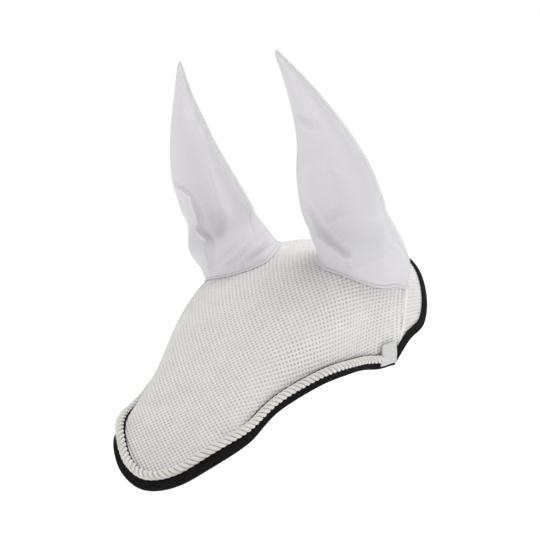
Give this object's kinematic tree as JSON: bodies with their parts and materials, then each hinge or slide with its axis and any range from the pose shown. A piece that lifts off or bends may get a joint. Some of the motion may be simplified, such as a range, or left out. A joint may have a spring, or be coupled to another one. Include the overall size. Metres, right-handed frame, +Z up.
{
  "type": "horse fly veil ear bonnet",
  "caption": "White knitted mesh ear bonnet for a horse, with stretch ear sleeves, black bound edge and twisted rope trim, in its worn shape.",
  "frame": {"origin": "inner face of the crown where it rests on the horse's poll, midway between the ears", "axes": "+Z up as worn, -Y the way the horse faces, +X towards the horse's left side"},
  "size_m": [0.2149, 0.2874, 0.3212],
  "materials": {
    "knit_mesh": "white open knit mesh, matte cotton",
    "ear_lycra": "smooth white stretch jersey with a faint sheen",
    "seam_thread": "white overlocked and topstitched seam",
    "seam_tape": "white knitted seam tape",
    "binding_webbing": "black ribbed binding tape, matte",
    "rope_cord": "warm white twisted cord",
    "tab_ribbon": "white satin ribbon folded over the edge"
  },
  "bodies": {
    "root": {"front_knit_panel": "knit_mesh", "rear_knit_panel": "knit_mesh", "front_edge_binding": "binding_webbing", "rear_edge_binding": "binding_webbing", "front_twisted_rope": "rope_cord", "left_edge_tab": "tab_ribbon", "right_edge_tab": "tab_ribbon", "left_side_seam_tape": "seam_tape", "right_side_seam_tape": "seam_tape", "crown_seam_tape": "seam_tape", "left_ear_base_seam": "seam_thread", "right_ear_base_seam": "seam_thread", "left_ear_cuff": "ear_lycra", "right_ear_cuff": "ear_lycra"},
    "left_ear": {"left_ear_front_panel": "ear_lycra", "left_ear_back_panel": "ear_lycra", "left_ear_seam": "seam_thread"},
    "right_ear": {"right_ear_front_panel": "ear_lycra", "right_ear_back_panel": "ear_lycra", "right_ear_seam": "seam_thread"}
  },
  "joints": [
    {"name": "left_ear_tilt", "type": "hinge", "parent": "root", "child": "left_ear", "pos_m": [0.066, -0.01, -0.018], "axis": [1, 0, 0], "range_deg": [-30, 12], "stiffness_Nm_per_rad": 1.2, "deforming": ["left_ear_cuff"]},
    {"name": "right_ear_tilt", "type": "hinge", "parent": "root", "child": "right_ear", "pos_m": [-0.066, -0.01, -0.018], "axis": [1, 0, 0], "range_deg": [-30, 12], "stiffness_Nm_per_rad": 1.2, "deforming": ["right_ear_cuff"]}
  ]
}
